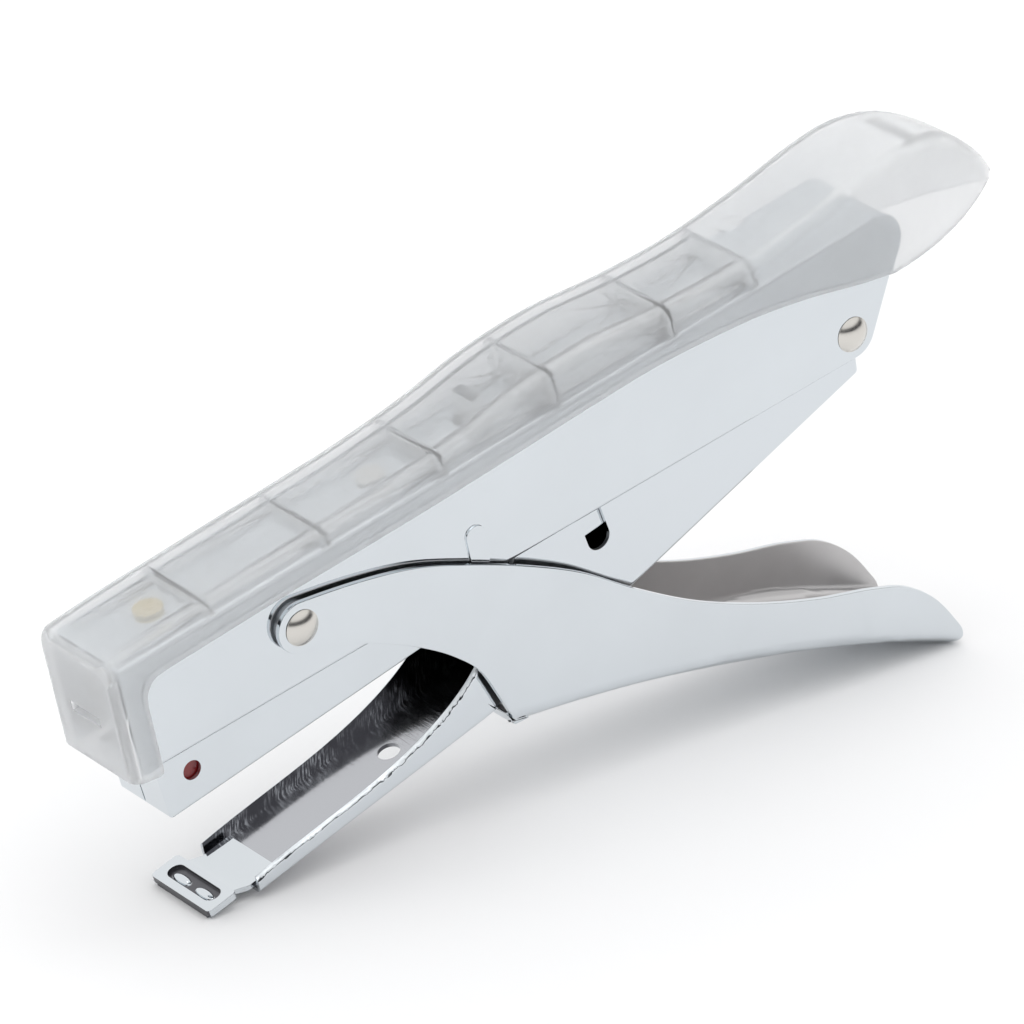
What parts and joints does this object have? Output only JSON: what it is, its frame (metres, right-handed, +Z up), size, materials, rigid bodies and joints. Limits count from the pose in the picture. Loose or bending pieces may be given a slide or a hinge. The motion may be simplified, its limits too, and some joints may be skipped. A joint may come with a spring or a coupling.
{
  "type": "plier stapler",
  "caption": "Hand-held plier stapler: steel channel frame with a clear ribbed grip cover, hinged magazine, anvil arm and squeezing handle.",
  "frame": {"origin": "centre of the bounding box's bottom face, on the surface that the stapler stands on", "axes": "+X towards the nose (the stapling end), +Y to the left side, +Z up, with the stapler standing on its anvil and the tail of its handle"},
  "size_m": [0.1574, 0.0198, 0.0792],
  "materials": {
    "chrome_steel": "bright chrome-plated pressed steel",
    "clear_plastic": "clear moulded plastic, slightly milky",
    "spring_steel": "plain steel",
    "rivet_nickel": "polished nickel-plated rivet",
    "brass": "plain brass",
    "red_plastic": "dark red moulded plastic"
  },
  "bodies": {
    "frame": {"top_frame": "chrome_steel", "grip_cover": "clear_plastic", "driver_blade": "spring_steel", "driver_rivet": "brass", "magazine_leaf_spring": "spring_steel", "leaf_spring_rivet": "rivet_nickel", "rear_pivot_rivet": "rivet_nickel", "rear_pivot_bush": "spring_steel", "jaw_spring": "spring_steel", "front_pivot_rivet": "rivet_nickel", "front_pivot_washers": "spring_steel"},
    "magazine": {"magazine": "chrome_steel", "staple_rail": "spring_steel", "rail_rivet": "rivet_nickel", "rail_end_stop": "spring_steel", "pusher_rod": "spring_steel", "pusher_spring": "spring_steel"},
    "pusher": {"pusher": "red_plastic"},
    "arm": {"anvil_arm": "chrome_steel", "anvil_plate": "chrome_steel"},
    "handle": {"lower_handle": "chrome_steel"}
  },
  "joints": [
    {"name": "handle_squeeze", "type": "hinge", "parent": "frame", "child": "handle", "pos_m": [0.04804, 0, 0.0398], "axis": [0, 1, 0], "range_deg": [0, 20.5], "stiffness_Nm_per_rad": 1, "springref_deg": -28.65},
    {"name": "jaw_close", "type": "hinge", "parent": "frame", "child": "arm", "pos_m": [-0.04758, 0, 0.05337], "axis": [0, -1, 0], "range_deg": [0, 10.8], "deforming": ["jaw_spring"]},
    {"name": "magazine_swing", "type": "hinge", "parent": "frame", "child": "magazine", "pos_m": [-0.04758, 0, 0.05337], "axis": [0, -1, 0], "range_deg": [0, 3.3], "deforming": ["magazine_leaf_spring"]},
    {"name": "pusher_slide", "type": "slide", "parent": "magazine", "child": "pusher", "axis": [-0.9632, 0, 0.2689], "range_m": [0, 0.056], "stiffness_N_per_m": 20, "springref_m": -0.05, "deforming": ["pusher_spring"]}
  ],
  "couplings": [
    {"joint": "jaw_close", "follows": "handle_squeeze", "ratio": 0.52683},
    {"joint": "magazine_swing", "follows": "handle_squeeze", "ratio": 0.16098}
  ]
}
